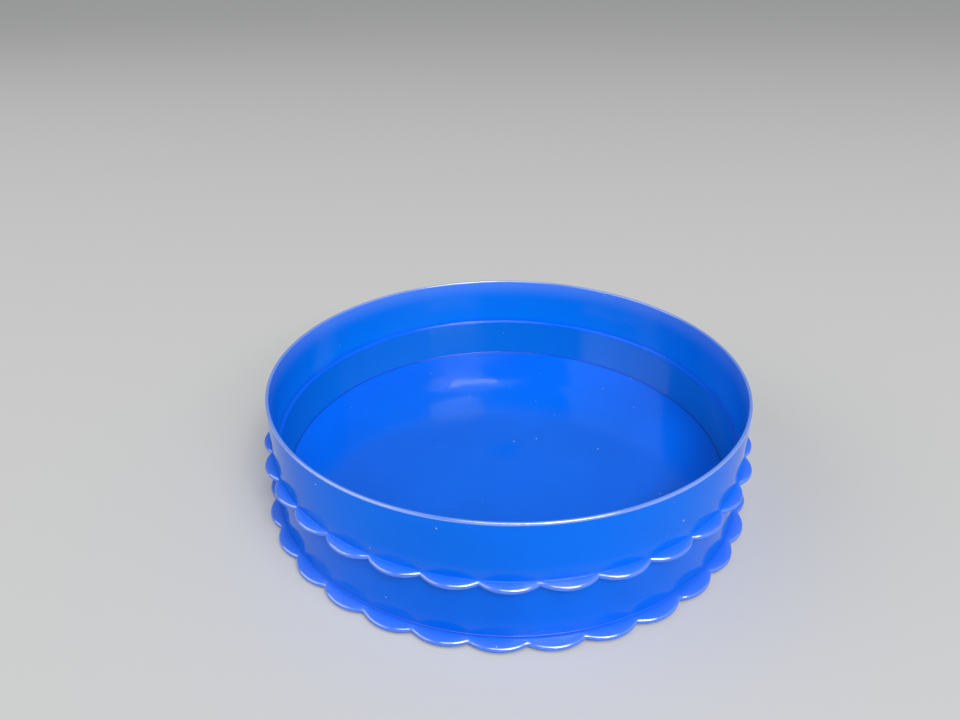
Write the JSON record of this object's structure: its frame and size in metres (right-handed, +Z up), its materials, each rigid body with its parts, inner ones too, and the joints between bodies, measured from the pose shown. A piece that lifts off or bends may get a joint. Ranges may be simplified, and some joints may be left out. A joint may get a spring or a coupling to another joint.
{
  "type": "pottery wheel",
  "caption": "Small hand-turned pottery wheel: a round pan with a scalloped grip flange turns on a low drum base with a scalloped foot, over a hidden ball race.",
  "frame": {"origin": "on the table, on the axis that the pan turns about", "axes": "+Z up along the spindle; X and Y lie in the table plane"},
  "size_m": [0.2618, 0.2618, 0.066],
  "materials": {
    "pan_plastic": "glossy moulded polypropylene, royal blue, faintly translucent, fine scuffs and dust",
    "base_plastic": "glossy moulded polypropylene, royal blue, faintly translucent",
    "turntable_plastic": "matt moulded, dark grey",
    "white_nylon": "natural nylon",
    "bright_steel": "ground and polished",
    "pressed_steel": "pressed sheet, lightly oiled",
    "black_rubber": "matt"
  },
  "bodies": {
    "base": {"foot_plate": "base_plastic", "drum_ring": "base_plastic", "spindle": "bright_steel", "retaining_clip": "pressed_steel", "thrust_washer": "white_nylon", "lower_race": "pressed_steel", "rubber_foot_1": "black_rubber", "rubber_foot_2": "black_rubber", "rubber_foot_3": "black_rubber", "rubber_foot_4": "black_rubber", "rubber_foot_5": "black_rubber", "rubber_foot_6": "black_rubber"},
    "cage": {"ball_cage": "white_nylon", "ball_1": "bright_steel", "ball_2": "bright_steel", "ball_3": "bright_steel", "ball_4": "bright_steel", "ball_5": "bright_steel", "ball_6": "bright_steel", "ball_7": "bright_steel", "ball_8": "bright_steel", "ball_9": "bright_steel", "ball_10": "bright_steel", "ball_11": "bright_steel", "ball_12": "bright_steel"},
    "turntable": {"drive_plate": "turntable_plastic", "bush": "white_nylon", "upper_race": "pressed_steel"},
    "pan": {"wheel_pan": "pan_plastic"}
  },
  "joints": [
    {"name": "wheel_spin", "type": "hinge", "parent": "base", "child": "turntable", "pos_m": [0, 0, 0.0061], "axis": [0, 0, 1], "continuous": true},
    {"name": "cage_spin", "type": "hinge", "parent": "base", "child": "cage", "pos_m": [0, 0, 0.0061], "axis": [0, 0, 1], "continuous": true},
    {"name": "pan_lift", "type": "slide", "parent": "turntable", "child": "pan", "axis": [0, 0, 1], "range_m": [0, 0.05]}
  ],
  "couplings": [
    {"joint": "cage_spin", "follows": "wheel_spin", "ratio": 0.5}
  ]
}
